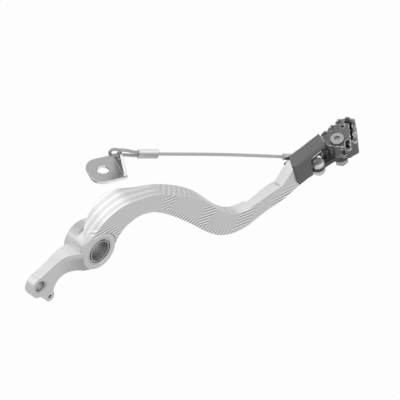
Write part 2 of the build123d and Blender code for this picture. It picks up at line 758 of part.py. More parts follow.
# Crimped lug: a barrel on the rope and a flat eye under the channel's first screw
with BuildPart() as cable_lug:
    with BuildSketch(Plane(cable_line.wire() @ 1, z_dir=cable_line.wire() % 1)):
        Circle(lug_barrel_d / 2)
    extrude(amount=2 * lug_eye_d)
    with BuildSketch(toe_side.offset(-flange_back - lug_sheet)):
        with Locations(channel_screw_at[0]):
            Circle(lug_eye_d / 2)
        with BuildLine():
            Polyline(
                (channel_screw_at[0][0] - lug_eye_d / 2, channel_screw_at[0][1]),
                (channel_screw_at[0][0] + lug_eye_d / 2, channel_screw_at[0][1]),
                (channel_screw_at[0][0] + lug_eye_d / 2, lug_top),
                (channel_screw_at[0][0] - lug_eye_d / 2 - lug_ear, lug_top),
                close=True,
            )
        make_face()
    extrude(amount=lug_sheet)
    with BuildSketch(toe_side.offset(-flange_back)):
        with Locations(channel_screw_at[0]):
            Rectangle(reach, reach)
    extrude(amount=reach, mode=Mode.SUBTRACT)
    with BuildSketch(toe_side.offset(-flange_back)):
        with Locations(channel_screw_at[0]):
            Circle(screw_d / 2)
    extrude(amount=-lug_sheet, mode=Mode.SUBTRACT)
cable_lug.part.label = "cable_lug"

# Folded bracket: a flat foot with a round end and an upright that narrows to the rope's eye
foot_length = bracket_sheet / 2 - bracket_end_x
upright_low = -upright_axis_height - bracket_sheet
base_reach = math.hypot(bracket_width / 2, upright_low)
flank = math.atan2(upright_low, bracket_width / 2) + math.acos(upright_d / 2 / base_reach)
flank_at = (upright_d / 2 * math.cos(flank), upright_d / 2 * math.sin(flank))
with BuildPart() as snake_bracket:
    with BuildSketch(bracket.offset(upright_low)) as foot_plan:
        with Locations((bracket_end_x + foot_length / 2, 0)):
            Rectangle(foot_length, bracket_width)
        fillet(foot_plan.vertices().group_by(Axis.X)[0], bracket_corner)
        with Locations((bracket_hole_x, 0)):
            Circle(bracket_hole_d / 2, mode=Mode.SUBTRACT)
    extrude(amount=bracket_sheet)
    with BuildSketch(bracket_section.offset(-bracket_sheet / 2)):
        with BuildLine():
            Polyline(
                (-bracket_width / 2, upright_low),
                (bracket_width / 2, upright_low),
                flank_at,
                (-flank_at[0], flank_at[1]),
                close=True,
            )
        make_face()
        Circle(upright_d / 2)
        Circle(upright_hole_d / 2, mode=Mode.SUBTRACT)
    extrude(amount=bracket_sheet)
    long_edges = snake_bracket.edges().filter_by(GeomType.LINE).sort_by(SortBy.LENGTH)
    bend_edges = long_edges[-2:].sort_by(Axis.Z)
    fillet(bend_edges[-1], bracket_bend_inside)
    fillet(snake_bracket.edges().filter_by(GeomType.LINE).sort_by(SortBy.LENGTH)[-1], bracket_bend_outside)
snake_bracket.part.label = "snake_bracket"

os.makedirs("parts", exist_ok=True)
for piece in (
    lever_arm.part, pivot_boss.part, pivot_bush.part, pivot_seal_outer, pivot_seal_inner, toe_channel.part,
    channel_screws.part, tip_link.part, fold_bolt.part, fold_clip.part, fold_spring.part,
    toe_tip.part, tip_bolt.part, tip_washer.part, tip_nut.part, snake_cable.part,
    cable_loop.part, crimp_ferrule.part, cable_lug.part, snake_bracket.part,
):
    export_step(piece, f"parts/{piece.label}.step")
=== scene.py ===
import json
import logging
import math
from dataclasses import dataclass
from enum import Enum

import bpy
from mathutils import Matrix, Vector

# Looks of a rear brake pedal with a folding toe tip and a snake cable.
# X points forward to the toe, -Y outboard, +Z up, in metres.
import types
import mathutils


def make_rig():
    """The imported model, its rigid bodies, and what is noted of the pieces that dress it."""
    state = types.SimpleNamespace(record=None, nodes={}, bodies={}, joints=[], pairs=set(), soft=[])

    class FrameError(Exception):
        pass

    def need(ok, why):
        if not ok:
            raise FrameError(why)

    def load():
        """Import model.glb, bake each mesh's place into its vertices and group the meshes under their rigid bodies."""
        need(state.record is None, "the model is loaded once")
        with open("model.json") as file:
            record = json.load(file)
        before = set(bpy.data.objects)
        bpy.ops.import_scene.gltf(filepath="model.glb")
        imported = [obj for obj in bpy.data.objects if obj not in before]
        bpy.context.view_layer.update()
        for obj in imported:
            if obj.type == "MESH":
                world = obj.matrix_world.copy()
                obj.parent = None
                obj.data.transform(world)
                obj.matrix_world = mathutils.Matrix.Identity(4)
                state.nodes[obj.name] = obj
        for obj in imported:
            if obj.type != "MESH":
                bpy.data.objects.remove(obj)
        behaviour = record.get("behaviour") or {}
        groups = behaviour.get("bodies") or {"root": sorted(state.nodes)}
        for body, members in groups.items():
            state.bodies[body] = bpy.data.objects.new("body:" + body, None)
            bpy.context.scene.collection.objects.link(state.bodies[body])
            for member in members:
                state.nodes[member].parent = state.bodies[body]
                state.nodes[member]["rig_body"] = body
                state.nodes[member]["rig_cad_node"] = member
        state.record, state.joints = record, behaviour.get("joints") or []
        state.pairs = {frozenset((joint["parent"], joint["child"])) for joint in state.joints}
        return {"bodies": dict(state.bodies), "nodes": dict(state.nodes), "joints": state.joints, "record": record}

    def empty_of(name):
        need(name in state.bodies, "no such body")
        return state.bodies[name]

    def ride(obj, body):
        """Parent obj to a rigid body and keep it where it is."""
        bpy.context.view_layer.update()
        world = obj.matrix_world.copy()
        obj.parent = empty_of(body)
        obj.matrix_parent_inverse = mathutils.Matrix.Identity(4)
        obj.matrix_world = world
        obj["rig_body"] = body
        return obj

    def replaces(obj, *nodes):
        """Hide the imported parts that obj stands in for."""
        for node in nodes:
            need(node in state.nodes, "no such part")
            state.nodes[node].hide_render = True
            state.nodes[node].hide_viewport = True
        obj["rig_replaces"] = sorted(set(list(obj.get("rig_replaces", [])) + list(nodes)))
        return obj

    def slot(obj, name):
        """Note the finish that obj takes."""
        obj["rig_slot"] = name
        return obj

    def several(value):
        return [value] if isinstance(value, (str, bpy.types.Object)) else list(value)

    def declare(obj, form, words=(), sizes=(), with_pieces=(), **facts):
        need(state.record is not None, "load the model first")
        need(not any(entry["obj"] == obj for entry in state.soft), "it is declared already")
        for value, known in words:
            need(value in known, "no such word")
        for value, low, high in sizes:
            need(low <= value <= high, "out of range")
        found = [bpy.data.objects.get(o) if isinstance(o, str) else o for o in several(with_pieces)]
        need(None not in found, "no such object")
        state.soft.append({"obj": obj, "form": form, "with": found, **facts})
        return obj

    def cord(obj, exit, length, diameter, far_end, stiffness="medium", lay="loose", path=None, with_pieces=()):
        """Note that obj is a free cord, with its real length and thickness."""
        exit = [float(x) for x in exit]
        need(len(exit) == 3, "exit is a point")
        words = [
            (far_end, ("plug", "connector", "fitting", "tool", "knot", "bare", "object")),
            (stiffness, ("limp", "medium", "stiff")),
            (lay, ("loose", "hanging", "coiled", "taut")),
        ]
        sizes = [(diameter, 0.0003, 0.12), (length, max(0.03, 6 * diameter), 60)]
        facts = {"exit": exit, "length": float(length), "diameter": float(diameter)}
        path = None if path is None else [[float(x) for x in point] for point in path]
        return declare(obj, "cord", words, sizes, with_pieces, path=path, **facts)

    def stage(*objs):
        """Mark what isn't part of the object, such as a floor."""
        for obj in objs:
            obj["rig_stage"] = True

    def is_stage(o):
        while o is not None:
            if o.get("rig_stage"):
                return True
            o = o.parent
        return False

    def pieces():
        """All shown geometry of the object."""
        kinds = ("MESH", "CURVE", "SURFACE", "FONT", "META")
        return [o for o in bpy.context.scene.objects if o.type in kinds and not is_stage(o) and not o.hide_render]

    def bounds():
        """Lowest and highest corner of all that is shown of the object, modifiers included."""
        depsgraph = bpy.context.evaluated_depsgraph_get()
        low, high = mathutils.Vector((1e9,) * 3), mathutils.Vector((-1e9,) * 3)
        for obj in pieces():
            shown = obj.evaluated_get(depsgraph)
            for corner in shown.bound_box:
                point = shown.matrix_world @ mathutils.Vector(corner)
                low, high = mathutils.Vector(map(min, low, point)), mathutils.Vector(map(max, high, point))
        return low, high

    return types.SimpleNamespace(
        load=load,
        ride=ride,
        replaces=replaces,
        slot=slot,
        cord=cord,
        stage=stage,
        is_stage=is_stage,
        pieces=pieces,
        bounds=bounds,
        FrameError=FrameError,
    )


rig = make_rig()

logging.basicConfig(level=logging.INFO, format="%(message)s")
log = logging.getLogger("rear_brake_pedal")

MM = 0.001
SIZE_FILE = "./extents.json"
BOSS_RADIUS = 14.5 * MM
NOISE_MIDDLE = 0.5
# Where a Mix node has its two colours and its result.
MIX_FIRST, MIX_SECOND, MIX_RESULT = 6, 7, 2

Node = bpy.types.Node
Socket = bpy.types.NodeSocket
Tree = bpy.types.NodeTree
Triple = tuple[float, float, float]
Colour = tuple[float, float, float, float]
Value = Socket | float

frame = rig.load()
cad_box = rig.bounds()


class Axis(Enum):
    """One coordinate of a place on the part."""

    X = 0
    Y = 1
    Z = 2


@dataclass
class Bench:
    """Adds nodes to one shader tree and joins them.

    Args:
        tree: the node tree of a material, a group or the world.
    """

    tree: Tree

    def add(self, kind: str, **settings: object) -> Node:
        """Adds one node.

        Args:
            kind: the node's type name, without its ShaderNode prefix.
            settings: properties to set on the node.

        Returns:
            The new node.
        """
        node = self.tree.nodes.new(kind if kind.startswith("Node") else "ShaderNode" + kind)
        for name, value in settings.items():
            setattr(node, name, value)
        return node

    def put(self, socket: Socket, value: Value | Triple | Colour) -> None:
        """Joins another socket to this one, or sets a plain value on it.

        Args:
            socket: the input to fill.
            value: an output socket, or the constant to set.
        """
        if isinstance(value, Socket):
            self.tree.links.new(value, socket)
        else:
            socket.default_value = value

    def math(self, operation: str, *values: Value) -> Socket:
        """Adds a Math node.

        Args:
            operation: its operation.
            values: sockets or numbers for its inputs.

        Returns:
            Its output socket.
        """
        node = self.add("Math", operation=operation)
        for socket, value in zip(node.inputs, values):
            self.put(socket, value)
        return node.outputs[0]

    def product(self, first: Socket, *others: Value) -> Socket:
        """Multiplies values.

        Args:
            first: the first value.
            others: what to multiply it by, one after the other.

        Returns:
            The product's socket.
        """
        for value in others:
            first = self.math("MULTIPLY", first, value)
        return first

    def largest(self, first: Socket, *others: Value) -> Socket:
        """Takes the largest of some values.

        Args:
            first: the first value.
            others: what to set it against.

        Returns:
            The largest value's socket.
        """
        for value in others:
            first = self.math("MAXIMUM", first, value)
        return first

    def blend(self, share: Socket, first: Socket, second: Socket) -> Socket:
        """Mixes two values.

        Args:
            share: how much of the second value.
            first: the first value.
            second: the second value.

        Returns:
            The mixed value's socket.
        """
        kept = self.product(first, self.math("SUBTRACT", 1.0, share))
        return self.math("ADD", kept, self.product(second, share))

    def mix(self, share: Socket, first: Socket | Colour, second: Socket | Colour) -> Socket:
        """Mixes two colours.

        Args:
            share: how much of the second shows, from 0 to 1.
            first: a colour or a colour socket.
            second: a colour or a colour socket.

        Returns:
            The mixed colour's socket.
        """
        node = self.add("Mix", data_type="RGBA")
        self.put(node.inputs[0], share)
        self.put(node.inputs[MIX_FIRST], first)
        self.put(node.inputs[MIX_SECOND], second)
        return node.outputs[MIX_RESULT]

    def dot(self, first: Socket, second: Socket | Triple) -> Socket:
        """Dot product of two vectors.

        Args:
            first: a vector's socket.
            second: a vector or a vector's socket.

        Returns:
            The product's socket.
        """
        node = self.add("VectorMath", operation="DOT_PRODUCT")
        self.put(node.inputs[0], first)
        self.put(node.inputs[1], second)
        return node.outputs["Value"]

    def shaded(self, level: float, shade: Socket) -> Socket:
        """Grey that a shade makes lighter or darker.

        Args:
            level: the grey, linear.
            shade: what to multiply it by.

        Returns:
            The colour's socket.
        """
        node = self.add("VectorMath", operation="SCALE")
        self.put(node.inputs[0], grey(level)[:3])
        self.put(node.inputs["Scale"], shade)
        return node.outputs[0]

    def group(self, tree: Tree, **values: Value) -> Node:
        """Places a node group.

        Args:
            tree: the group.
            values: what its inputs get, by name.

        Returns:
            The group's node.
        """
        node = self.add("Group", node_tree=tree)
        for name, value in values.items():
            self.put(node.inputs[name], value)
        return node


@dataclass(frozen=True)
class Fade:
    """A mask that grows smoothly while a value goes from one limit to the other, and holds at both ends.

    Args:
        start: the value up to which there is no mask.
        full: the value from which the mask is full.
        share: how strong it is there, from 0 to 1.
    """

    start: float
    full: float
    share: float = 1.0

    def mask(self, bench: Bench, value: Socket) -> Socket:
        """Adds the mask.

        Args:
            bench: the bench to add the node on.
            value: the value to read.

        Returns:
            The mask's socket.
        """
        node = bench.add("MapRange", interpolation_type="SMOOTHSTEP")
        for socket, part in zip(node.inputs, (value, self.start, self.full, 0.0, self.share)):
            bench.put(socket, part)
        return node.outputs[0]


@dataclass(frozen=True)
class Noise:
    """A noise texture.

    Args:
        scale: how many lumps to the metre.
        detail: how many finer layers it has.
    """

    scale: float
    detail: float

    def value(self, bench: Bench, place: Socket) -> Socket:
        """Adds the texture.

        Args:
            bench: the bench to add the node on.
            place: the coordinates to read.

        Returns:
            The noise value's socket.
        """
        node = bench.add("TexNoise")
        bench.put(node.inputs["Vector"], place)
        bench.put(node.inputs["Scale"], self.scale)
        bench.put(node.inputs["Detail"], self.detail)
        return node.outputs[0]


@dataclass(frozen=True)
class Relief:
    """Shallow unevenness in the shading.

    Args:
        strength: how much of it shows, from 0 to 1.
        distance: its height, in metres.
    """

    strength: float
    distance: float

    def normal(self, bench: Bench, height: Socket, below: Socket) -> Socket:
        """Adds the relief.

        Args:
            bench: the bench to add the node on.
            height: the height to follow.
            below: the normal of the surface that carries it.

        Returns:
            The changed normal's socket.
        """
        node = bench.add("Bump")
        bench.put(node.inputs["Strength"], self.strength)
        bench.put(node.inputs["Distance"], self.distance)
        bench.put(node.inputs["Height"], height)
        bench.put(node.inputs["Normal"], below)
        return node.outputs[0]


def grey(level: float) -> Colour:
    """A neutral grey of a linear brightness, with full alpha."""
    return (level, level, level, 1.0)


def new_material(name: str) -> tuple[bpy.types.Material, Bench, Node]:
    """Starts a material.

    Args:
        name: the material's name.

    Returns:
        The material, a bench on it and its Principled node.
    """
    made = bpy.data.materials.new(name)
    made.use_nodes = True
    return made, Bench(made.node_tree), made.node_tree.nodes["Principled BSDF"]


def new_group(name: str, takes: dict[str, str], gives: dict[str, str]) -> tuple[Bench, Node, Node]:
    """Starts a shader node group.

    Args:
        name: the group's name.
        takes: its inputs' names and socket types.
        gives: its outputs' names and socket types.

    Returns:
        A bench on the group, its input node and its output node.
    """
    tree = bpy.data.node_groups.new(name, "ShaderNodeTree")
    for title, kind in takes.items():
        tree.interface.new_socket(title, in_out="INPUT", socket_type="NodeSocket" + kind)
    for title, kind in gives.items():
        tree.interface.new_socket(title, in_out="OUTPUT", socket_type="NodeSocket" + kind)
    bench = Bench(tree)
    return bench, bench.add("NodeGroupInput"), bench.add("NodeGroupOutput")


@dataclass(frozen=True)
class RoundedEdges:
    """Effect that rounds sharp edges in the shading and marks where they are.

    Args:
        samples: how many rays look for an edge.
        turn: cosine between the rounded and the flat normal, from no edge to a full one.
    """

    samples: int = 8
    turn: Fade = Fade(0.995, 0.86)

    def group(self) -> Tree:
        """Builds the effect as a group.

        Returns:
            The group, with the rounded normal and a mask of the edges.
        """
        bench, given, result = new_group(
            "rounded_edges", {"Radius": "Float"}, {"Normal": "Vector", "Edge": "Float"}
        )
        bevel = bench.add("Bevel", samples=self.samples)
        bench.put(bevel.inputs["Radius"], given.outputs["Radius"])
        flat = bench.add("NewGeometry").outputs["True Normal"]
        bench.put(result.inputs["Normal"], bevel.outputs[0])
        bench.put(result.inputs["Edge"], self.turn.mask(bench, bench.dot(bevel.outputs[0], flat)))
        return bench.tree


@dataclass(frozen=True)
class MetalGrain:
    """Effect of a metal's uneven surface: slow cloudy shade, fine grain and rubbed patches.

    Args:
        clouds: the cloudy shade.
        cloud_share: how much of the unevenness the clouds make, from 0 to 1.
        grain: the fine grain, which makes the rest.
        rough_share: how much of the unevenness goes into the roughness.
        patches: the lumps that the patches come from.
        patch_limits: which of the lumps are patches.
    """

    clouds: Noise = Noise(60.0, 4.0)
    cloud_share: float = 0.6
    grain: Noise = Noise(2600.0, 2.0)
    rough_share: float = 0.8
    patches: Noise = Noise(420.0, 5.0)
    patch_limits: Fade = Fade(0.48, 0.62)

    def group(self) -> Tree:
        """Builds the effect as a group.

        Returns:
            The group, with a shade around 1, a roughness change around 0, a height and a mask of patches.
        """
        bench, given, result = new_group(
            "metal_grain",
            {"Place": "Vector", "Depth": "Float"},
            {"Shade": "Float", "Rough": "Float", "Height": "Float", "Patches": "Float"},
        )
        place, depth = given.outputs["Place"], given.outputs["Depth"]
        grain = self.grain.value(bench, place)
        cloudy = bench.product(self.clouds.value(bench, place), self.cloud_share)
        uneven = bench.math("ADD", cloudy, bench.product(grain, 1 - self.cloud_share))
        change = bench.product(bench.math("SUBTRACT", uneven, NOISE_MIDDLE), depth)
        bench.put(result.inputs["Shade"], bench.math("ADD", 1.0, change))
        bench.put(result.inputs["Rough"], bench.product(change, self.rough_share))
        bench.put(result.inputs["Height"], bench.product(grain, depth))
        lumps = self.patches.value(bench, place)
        bench.put(result.inputs["Patches"], self.patch_limits.mask(bench, lumps))
        return bench.tree


@dataclass(frozen=True)
class SharedEffects:
    """The effects that several finishes use, each a node group built once.

    Args:
        edges: the group of rounded edges.
        grain: the group of a metal's uneven surface.
    """

    edges: Tree
    grain: Tree


@dataclass(frozen=True)
class MetalFinish:
    """A plain metal or coating with grain, softened edges, rubbed edges and a painted highlight on edges that face one
    way.

    Args:
        name: the material's name.
        level: its grey, linear.
        rubbed: the grey of rubbed edges, and of the painted highlight on edges that face one way.
        rough: its roughness.
        metallic: 1 for bare metal, 0 for paint.
        edge_radius: how far edges look rounded, in metres.
        depth: how uneven the surface is.
        wear: how much of the edges is rubbed.
        wear_radius: how far from the edges the wear reaches, in metres, if further than they are rounded.
        patchy: how much of the wear is in patches, from 0 to 1.
        highlight_facing: the way that the sheet edges with a painted highlight face, of length 1, or 0 where none has
            it.
        highlight_turn: cosine between a surface's normal and that way, from no painted highlight to a full one.
        relief: height of the grain.
    """

    name: str
    level: float
    rubbed: float
    rough: float
    metallic: float = 1.0
    edge_radius: float = 0.3 * MM
    depth: float = 0.25
    wear: float = 0.5
    wear_radius: float = 0.3 * MM
    patchy: float = 0.8
    highlight_facing: Triple = (0.0, 0.0, 0.0)
    highlight_turn: Fade = Fade(0.6, 0.85, 0.8)
    relief: Relief = Relief(0.25, 0.1 * MM)

    def material(self, shared: SharedEffects) -> bpy.types.Material:
        """Builds the finish as a material.

        Args:
            shared: the node groups.

        Returns:
            The material.
        """
        made, bench, surface = new_material(self.name)
        coordinates = bench.add("TexCoord")
        edges = bench.group(shared.edges, Radius=self.edge_radius)
        grain = bench.group(shared.grain, Place=coordinates.outputs["Object"], Depth=self.depth)
        rubbed = bench.group(shared.edges, Radius=max(self.wear_radius, self.edge_radius))
        patches = bench.math("MULTIPLY_ADD", grain.outputs["Patches"], self.patchy, 1 - self.patchy)
        wear_and_highlight = bench.product(rubbed.outputs["Edge"], patches, self.wear)
        # Painted highlight: cut masks the edges that face one given way, which are drawn in the rubbed grey as if lit.
        cut = self.highlight_turn.mask(bench, bench.dot(coordinates.outputs["Normal"], self.highlight_facing))
        wear_and_highlight = bench.largest(wear_and_highlight, cut)
        toned = bench.shaded(self.level, grain.outputs["Shade"])
        bench.put(surface.inputs["Base Color"], bench.mix(wear_and_highlight, toned, grey(self.rubbed)))
        bench.put(surface.inputs["Roughness"], bench.math("ADD", grain.outputs["Rough"], self.rough))
        bench.put(surface.inputs["Metallic"], bench.largest(wear_and_highlight, self.metallic))
        normal = self.relief.normal(bench, grain.outputs["Height"], edges.outputs["Normal"])
        bench.put(surface.inputs["Normal"], normal)
        return made


@dataclass(frozen=True)
class Spot:
    """The place that a material shades, and the way that the surface faces there.

    Args:
        place: object coordinates.
        parts: the node that gives them one by one.
        facing: the node that gives the normal's parts.
    """

    place: Socket
    parts: Node
    facing: Node

    @classmethod
    def on(cls, bench: Bench) -> "Spot":
        """Adds the nodes that read the place and the normal.

        Args:
            bench: the material's bench.

        Returns:
            The spot.
        """
        place = bench.add("TexCoord").outputs["Object"]
        parts, facing = bench.add("SeparateXYZ"), bench.add("SeparateXYZ")
        bench.put(parts.inputs[0], place)
        bench.put(facing.inputs[0], bench.add("NewGeometry").outputs["Normal"])
        return cls(place, parts, facing)

    def at(self, axis: Axis) -> Socket:
        """One coordinate of the place."""
        return self.parts.outputs[axis.value]

    def faces(self, axis: Axis) -> Socket:
        """How far the surface faces along an axis."""
        return self.facing.outputs[axis.value]

    def distance(self, bench: Bench, x: float = 0.0, z: float = 0.0) -> Socket:
        """Distance from an axis that runs along Y.

        Args:
            bench: the material's bench.
            x: where the axis is, forward of the pivot.
            z: where the axis is, above the pivot.

        Returns:
            The distance's socket.
        """
        ahead = bench.math("SUBTRACT", self.at(Axis.X), x)
        above = bench.math("SUBTRACT", self.at(Axis.Z), z)
        return bench.math("SQRT", bench.math("ADD", bench.product(ahead, ahead), bench.product(above, above)))


@dataclass(frozen=True)
class CutterPath:
    """The way a cutter went over one kind of surface, as planes that cut it in lines.

    Args:
        pitch: distance between the planes, in metres.
        across: the direction in which the planes follow each other.
        sway: how the lines wander.
        sway_share: how far they wander, as a share of the pitch.
        ridge: which part of each wave is line.
    """

    pitch: float
    across: Triple = (0.0, 0.0, 1.0)
    sway: Noise = Noise(25.0, 1.0)
    sway_share: float = 0.45
    ridge: Fade = Fade(-0.4, 0.9)

    def lines(self, bench: Bench, place: Socket) -> Socket:
        """Lines that the cutter leaves, slightly uneven.

        Args:
            bench: the material's bench.
            place: object coordinates.

        Returns:
            Height of the lines, from 0 to 1.
        """
        sway = bench.product(self.sway.value(bench, place), self.sway_share * self.pitch)
        level = bench.math("ADD", bench.dot(place, self.across), sway)
        return self.ridge.mask(bench, bench.math("SINE", bench.product(level, math.tau / self.pitch)))


@dataclass(frozen=True)
class FacetBorders:
    """Lines on the borders between the arm's facets.

    Args:
        places: middle and half-width of each border, in metres along X at Z 0.
        lean: how far a border moves forward for each metre up.
        soft: how far a border fades out, in metres.
        ragged: the lumps that make the borders ragged.
        reach: how deep the lumps go, in metres.
    """

    places: tuple[tuple[float, float], ...] = (
        (56.0 * MM, 6.0 * MM), (102.0 * MM, 6.5 * MM), (142.0 * MM, 7.0 * MM)
    )
    lean: float = 0.65
    soft: float = 3.0 * MM
    ragged: Noise = Noise(320.0, 2.0)
    reach: float = 5.0 * MM

    def mask(self, bench: Bench, spot: Spot) -> Socket:
        """Where the lines show.

        Args:
            bench: the material's bench.
            spot: the place that is shaded.

        Returns:
            The mask's socket.
        """
        along = bench.math("SUBTRACT", spot.at(Axis.X), bench.product(spot.at(Axis.Z), self.lean))
        ragged = bench.product(self.ragged.value(bench, spot.place), self.reach)
        shown = []
        for middle, half in self.places:
            away = bench.math("ABSOLUTE", bench.math("SUBTRACT", along, middle))
            shown.append(Fade(half + self.soft, half).mask(bench, bench.math("ADD", away, ragged)))
        return bench.largest(*shown)


@dataclass(frozen=True)
class BossLines:
    """Lines round the upper side of the boss.

    Args:
        outer: distance from the pivot.
        above: height.
        ahead: place along X.
    """

    outer: Fade = Fade(22 * MM, 18 * MM)
    above: Fade = Fade(2 * MM, 5 * MM)
    ahead: Fade = Fade(-9 * MM, -4 * MM)

    def mask(self, bench: Bench, spot: Spot) -> Socket:
        """Where the lines show.

        Args:
            bench: the material's bench.
            spot: the place that is shaded.

        Returns:
            The mask's socket.
        """
        away = spot.distance(bench)
        return bench.product(
            self.outer.mask(bench, away),
            self.above.mask(bench, spot.at(Axis.Z)),
            self.ahead.mask(bench, spot.at(Axis.X)),
            bench.math("GREATER_THAN", away, BOSS_RADIUS),
        )


@dataclass(frozen=True)
class ToeLines:
    """Lines along the lower side of the toe end.

    Args:
        slope: how far the toe end rises for each metre forward.
        low: depth below that slope.
        start: place along X where the lines begin.
        end: place along X where they end.
    """

    slope: float = 0.23
    low: Fade = Fade(58 * MM, 61 * MM)
    start: Fade = Fade(142 * MM, 148 * MM)
    end: Fade = Fade(168 * MM, 162 * MM)

    def mask(self, bench: Bench, spot: Spot) -> Socket:
        """Where the lines show.

        Args:
            bench: the material's bench.
            spot: the place that is shaded.

        Returns:
            The mask's socket.
        """
        x = spot.at(Axis.X)
        depth = bench.math("SUBTRACT", bench.product(x, self.slope), spot.at(Axis.Z))
        return bench.product(self.low.mask(bench, depth), self.start.mask(bench, x), self.end.mask(bench, x))


@dataclass(frozen=True)
class ArmSlope:
    """Lines on an edge of the arm's middle that slopes between the front and the top or the underside.

    Args:
        path: the cutter's way over it.
        begin: how far up the surface faces where the slope begins.
        limit: how far up it faces where the slope ends.
        start: place along X where the lines begin.
        end: place along X where they end.
    """

    path: CutterPath
    begin: Fade
    limit: Fade
    start: Fade = Fade(55 * MM, 66 * MM)
    end: Fade = Fade(126 * MM, 114 * MM)

    def mask(self, bench: Bench, spot: Spot) -> Socket:
        """Where the lines show.

        Args:
            bench: the material's bench.
            spot: the place that is shaded.

        Returns:
            The mask's socket.
        """
        x, up = spot.at(Axis.X), spot.faces(Axis.Z)
        return bench.product(
            self.begin.mask(bench, up),
            self.limit.mask(bench, up),
            self.start.mask(bench, x),
            self.end.mask(bench, x),
        )


@dataclass(frozen=True)
class Crown:
    """Faint lines along the crown, from the boss to the arm's middle.

    Args:
        path: the cutter's way along it.
        up: how far up the surface faces.
        above: height.
        end: place along X where the lines end.
    """

    path: CutterPath = CutterPath(3.6 * MM, (0.0, 1.0, 0.0))
    up: Fade = Fade(0.1, 0.35, 0.4)
    above: Fade = Fade(14 * MM, 20 * MM)
    end: Fade = Fade(60 * MM, 50 * MM)

    def mask(self, bench: Bench, spot: Spot) -> Socket:
        """Where the lines show.

        Args:
            bench: the material's bench.
            spot: the place that is shaded.

        Returns:
            The mask's socket.
        """
        return bench.product(
            self.up.mask(bench, spot.faces(Axis.Z)),
            self.above.mask(bench, spot.at(Axis.Z)),
            self.end.mask(bench, spot.at(Axis.X)),
        )


@dataclass(frozen=True)
class PaintedBoreShade:
    """Painted shade in the bore of the push-rod eye: its wall is drawn darker.

    Args:
        x: the bore's place along X.
        z: the bore's height.
        near: distance from its axis.
    """

    x: float = -49.5 * MM
    z: float = -8.3 * MM
    near: Fade = Fade(4.3 * MM, 4.1 * MM, 0.8)

    def mask(self, bench: Bench, spot: Spot) -> Socket:
        """Where the shade is painted, on the given bench and spot."""
        return self.near.mask(bench, spot.distance(bench, self.x, self.z))


@dataclass(frozen=True)
class PaintedHollowShade:
    """Painted shade on the front of the short arm's hollow, darker towards the boss.

    Args:
        front: the normal's Y of what is front.
        along: place along X.
        below: height.
    """

    front: Fade
    along: Fade = Fade(-34 * MM, -12 * MM, 0.5)
    below: Fade = Fade(4 * MM, 0.0)

    def mask(self, bench: Bench, spot: Spot) -> Socket:
        """Where the shade is painted.

        Args:
            bench: the material's bench.
            spot: the place that is shaded.

        Returns:
            The mask's socket.
        """
        x = spot.at(Axis.X)
        return bench.product(
            self.front.mask(bench, spot.faces(Axis.Y)),
            self.along.mask(bench, x),
            self.below.mask(bench, spot.at(Axis.Z)),
            bench.math("GREATER_THAN", spot.distance(bench), BOSS_RADIUS),
            bench.math("LESS_THAN", x, 0.0),
        )


@dataclass(frozen=True)
class PaintedCreaseShadow:
    """Painted shadow on the boss's round behind the arm: a dark line in the crease by the arm's heel, with a patch of
    painted shade behind it.

    Args:
        y: the mark's place along Y.
        slack: how far off the boss's round it still shows, in metres.
        up: the patch's height.
        rear: the patch's place along X.
        behind: how far behind the mark the patch is.
        line: distance from the mark's middle.
        line_up: the mark's height.
    """

    y: float = 2.2 * MM
    slack: float = 0.1 * MM
    up: Fade = Fade(9 * MM, 12 * MM)
    rear: Fade = Fade(3 * MM, 1 * MM)
    behind: Fade = Fade(-0.8 * MM, 0.6 * MM, 0.5)
    line: Fade = Fade(1.5 * MM, 0.3 * MM, 0.9)
    line_up: Fade = Fade(10.5 * MM, 13 * MM)

    def mask(self, bench: Bench, spot: Spot) -> Socket:
        """Where the shadow and the shade are painted.

        Args:
            bench: the material's bench.
            spot: the place that is shaded.

        Returns:
            The mask's socket.
        """
        z = spot.at(Axis.Z)
        away = bench.math("SUBTRACT", spot.at(Axis.Y), self.y)
        line = self.line.mask(bench, bench.math("ABSOLUTE", away))
        line = bench.product(line, self.line_up.mask(bench, z))
        return bench.product(
            bench.largest(self.behind.mask(bench, away), line),
            self.up.mask(bench, z),
            self.rear.mask(bench, spot.at(Axis.X)),
            bench.math("LESS_THAN", spot.distance(bench), BOSS_RADIUS + self.slack),
        )


